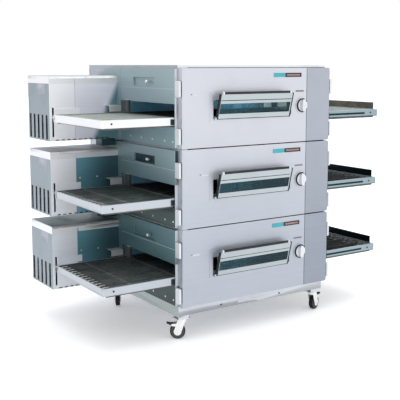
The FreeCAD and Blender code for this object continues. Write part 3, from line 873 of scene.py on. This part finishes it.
def dress_control_box(deck):
    """The box and its lid, with a rating plate let into the left end."""
    plate_y, plate_z = (880, 1005), (326, 398)

    # Painted shade: the darker left end.
    def is_left(p, normal):
        return normal.x < -0.9 and p.x < -526 and p.z < 408

    def is_plate(p, normal):
        return is_left(p, normal) and plate_y[0] < p.y < plate_y[1] and plate_z[0] < p.z < plate_z[1]

    # Painted shade: the darker lid tops.
    def is_lid_top(p, normal):
        return normal.z > 0.9 and p.z > 447

    # Painted shade and reflection on the right part of the front.
    def is_toned(p, normal):
        return p.x > -341 and p.z < 408 and 807 < p.y < 812

    # Painted shade: the underside is near black.
    def is_shaded_underside(p, normal):
        return p.z < 14.5

    # Painted light: the pale front-left panel.
    def is_front(p, normal):
        return p.y < 812 and p.x < -310 and p.z < 430

    cuts = [(spot(deck, 0, y, 0), (0, 1, 0)) for y in plate_y]
    cuts += [(spot(deck, 0, 0, z), (0, 0, 1)) for z in plate_z]
    piece = softened(
        deck + "_control_box", box_body_steel, 0.9 * mm, (box_steel, picks(deck, is_front)),
        (box_end_steel, picks(deck, is_left)),
        (plate_steel, picks(deck, is_plate)), (lid_steel, picks(deck, lambda p, n: p.z > 407)),
        (low_lid_top_steel if deck == "lower" else lid_top_steel, picks(deck, is_lid_top)),
        (upper_panel_steel if deck == "upper" else shaded_panel_steel, picks(deck, is_toned)),
        (lid_steel, picks(deck, lambda p, n: p.y < 800)), (pocket_steel, picks(deck, is_shaded_underside)), cuts=cuts)
    inset_and_push(piece, picks(deck, is_plate), 1.5 * mm, -0.5 * mm)


def dress_deck(deck):
    dress_housing(deck)
    softened(deck + "_front_door", door_steel, 1.4 * mm)
    dress_end_panels(deck)
    dress_hatch(deck)
    dress_latch(deck)
    dress_conveyor(deck)
    dress_control_box(deck)
    softened(deck + "_blower_wheel", lining, 0.6 * mm)


def make_badge(deck):
    """A two-tone plate with a fine rim, and no lettering."""
    low, high = spot(deck, 716, -2.4, 441), spot(deck, 953, 0.5, 468)
    badge = add_block(deck + "_badge", low, high)
    inset_and_push(badge, lambda centre, normal: normal.y < -0.9, 1.6 * mm, -0.7 * mm)
    round_edges(badge, 0.5 * mm)
    split = spot(deck, 813, 0, 0)
    split_faces(badge, split, (1, 0, 0))
    dress(badge, badge_blue, (badge_grey, lambda centre, normal: centre.x > split.x))
    place_piece(badge, deck + "_door")
    make_plate(deck + "_badge_stripe", spot(deck, 826, -2.9, 449), spot(deck, 940, -1.2, 460),
               (0, -1, 0), badge_stripe, deck + "_door")


def make_plate(name, low, high, face, material, body):
    """A thin plate with a raised rim on the face that looks along the face vector."""
    plate = add_block(name, low, high)
    inset_and_push(plate, lambda centre, normal: normal.dot(Vector(face)) > 0.9, 1.2 * mm, -0.4 * mm)
    round_edges(plate, 0.3 * mm)
    dress(plate, material)
    place_piece(plate, body)


def make_labels(deck):
    door = deck + "_door"
    start = 130 if deck == "middle" else 64
    for name, x0, x1, z0, z1, material in (
            ("hinge_side_mark", start, start + 9, 335, 342, label_grey),
            ("hinge_side", start + 14, start + 65, 330, 339, label_pale),
            ("latch_side", 906, 976, 341, 351, label_grey)):
        make_plate(deck + "_" + name + "_label", spot(deck, x0, -1, z0), spot(deck, x1, 0.5, z1),
                   (0, -1, 0), material, door)


def make_louvres(deck):
    """Angled blades behind the slots of the control box's left end."""
    blades, first_slot, slot_pitch = [], 842, 70
    for i in range(5):
        y = first_slot + i * slot_pitch
        blade = add_block("blade", spot(deck, -523, y + 2, 26), spot(deck, -509, y + 4, 187))
        open_faces(blade, lambda centre, normal: normal.x > 0.9)
        bpy.ops.transform.translate(value=(0, 24 * mm, 0))
        close_edit()
        round_edges(blade, 0.4 * mm)
        blades.append(blade)
    louvres = join_pieces(deck + "_louvre_blades", blades)
    # Painted shade: the blades are near black.
    dress(louvres, pocket_steel)
    place_piece(louvres, "oven_body")


for deck in decks:
    dress_deck(deck)
    make_badge(deck)
    make_labels(deck)
    make_louvres(deck)


# Shared pieces

back_place = spot("lower", 0, 756, 0).y
chamber_cuts = [(spot(deck, 0, 0, 196), (0, 0, 1)) for deck in decks]


# Painted reflection: the chambers' back plates above the belts are blue.
def is_blue_back(centre, normal):
    above = [local(deck, centre).z for deck in decks]
    return abs(centre.y - back_place) < 4 * mm and any(196 < z < 441 for z in above)


softened("baking_chambers", dark_lining, 0.6 * mm, (blue_reflection_steel, is_blue_back), cuts=chamber_cuts)
softened("air_fingers", blue_reflection_steel, 1.0 * mm)
softened("drive_motors", casting, 1.5 * mm)


def is_dark_screw(centre, normal):
    """The screws at the conveyors' ends and on the stand's front."""
    p = local("lower", centre)
    return p.z < 0 or (abs(centre.x) > 1.0 and p.y < 60)


softened("panel_fasteners", zinc, 0.7 * mm, (dark_hook_and_shade_steel, is_dark_screw))
# Painted shade: the stand's sides are darker than its front.
softened("base_frame", stand_steel, 1.2 * mm, (stand_end_steel, lambda centre, normal: abs(normal.x) > 0.9))
make_plate("stand_label", spot("lower", 470, 49, -50), spot("lower", 610, 50.5, -14),
           (0, -1, 0), label_pale, "oven_body")


def dress_casters():
    for corner in corners:
        wheel = joint_place[corner + "_roll"]
        axle = joint_axis[corner + "_roll"]

        def is_hub(centre, normal, wheel=wheel, axle=axle):
            off = centre - wheel
            return (off - axle * off.dot(axle)).length < 35 * mm

        softened("caster_fork_" + corner, zinc, 0.7 * mm)
        softened("caster_wheel_" + corner, tyre_rubber, 1.0 * mm, (hub_plastic, is_hub))
        if corner.startswith("front"):
            softened("brake_pedal_" + corner, pedal_plastic, 0.8 * mm)


dress_casters()
